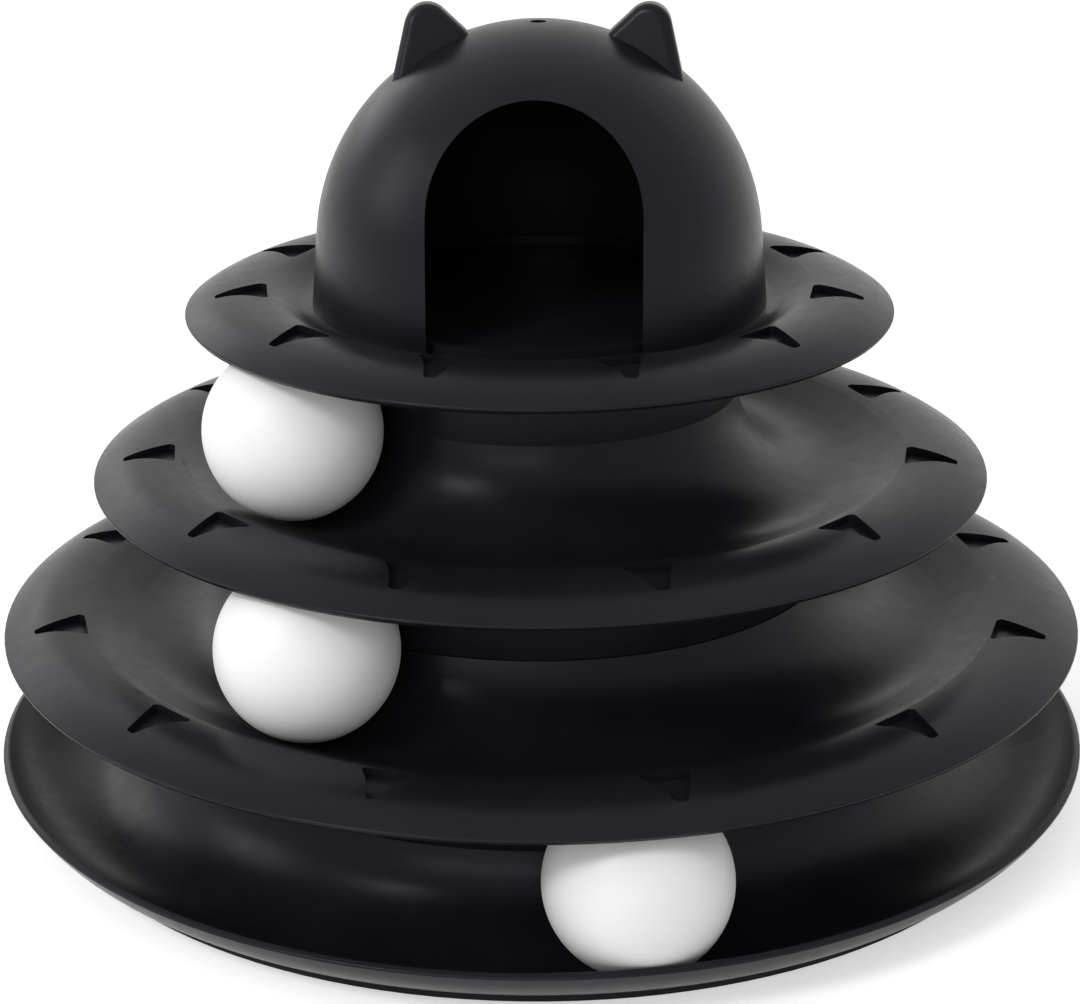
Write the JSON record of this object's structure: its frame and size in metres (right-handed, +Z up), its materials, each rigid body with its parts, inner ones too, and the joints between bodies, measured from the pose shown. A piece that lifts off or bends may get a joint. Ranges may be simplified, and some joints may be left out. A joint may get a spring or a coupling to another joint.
{
  "type": "cat ball track toy",
  "caption": "Tiered cat toy: stacked round tracks with rolling balls under slotted brims, topped by a domed lid with cat ears and an arched doorway.",
  "frame": {"origin": "middle of the surface the toy stands on, on the axis of its round tracks", "axes": "+Z up along the axis of the tracks; -Y is the front, where the doorway faces; +X is to the right as seen from the front"},
  "size_m": [0.2496, 0.2496, 0.1786],
  "materials": {
    "black_plastic": "fine matte, moulded",
    "white_plastic": "smooth satin, moulded",
    "pad_rubber": "matte"
  },
  "bodies": {
    "base": {"base_tray": "black_plastic", "foot_pad_1": "pad_rubber", "foot_pad_2": "pad_rubber", "foot_pad_3": "pad_rubber", "foot_pad_4": "pad_rubber"},
    "lower_ring": {"lower_track_ring": "black_plastic"},
    "upper_ring": {"upper_track_ring": "black_plastic"},
    "top": {"top_ring": "black_plastic"},
    "dome": {"cat_dome": "black_plastic"},
    "low_ball": {"lower_ball": "white_plastic"},
    "mid_ball": {"middle_ball": "white_plastic"},
    "high_ball": {"upper_ball": "white_plastic"}
  },
  "joints": [
    {"name": "lower_ring_lift", "type": "slide", "parent": "base", "child": "lower_ring", "axis": [0, 0, 1], "range_m": [0, 0.06]},
    {"name": "upper_ring_lift", "type": "slide", "parent": "lower_ring", "child": "upper_ring", "axis": [0, 0, 1], "range_m": [0, 0.06]},
    {"name": "top_ring_lift", "type": "slide", "parent": "upper_ring", "child": "top", "axis": [0, 0, 1], "range_m": [0, 0.06]},
    {"name": "dome_lift", "type": "slide", "parent": "top", "child": "dome", "axis": [0, 0, 1], "range_m": [0, 0.07]},
    {"name": "low_ball_roll", "type": "hinge", "parent": "base", "child": "low_ball", "pos_m": [0, 0, 0.0223], "axis": [0, 0, 1], "continuous": true},
    {"name": "mid_ball_roll", "type": "hinge", "parent": "lower_ring", "child": "mid_ball", "pos_m": [0, 0, 0.05801], "axis": [0, 0, 1], "continuous": true},
    {"name": "high_ball_roll", "type": "hinge", "parent": "upper_ring", "child": "high_ball", "pos_m": [0, 0, 0.09418], "axis": [0, 0, 1], "continuous": true}
  ]
}
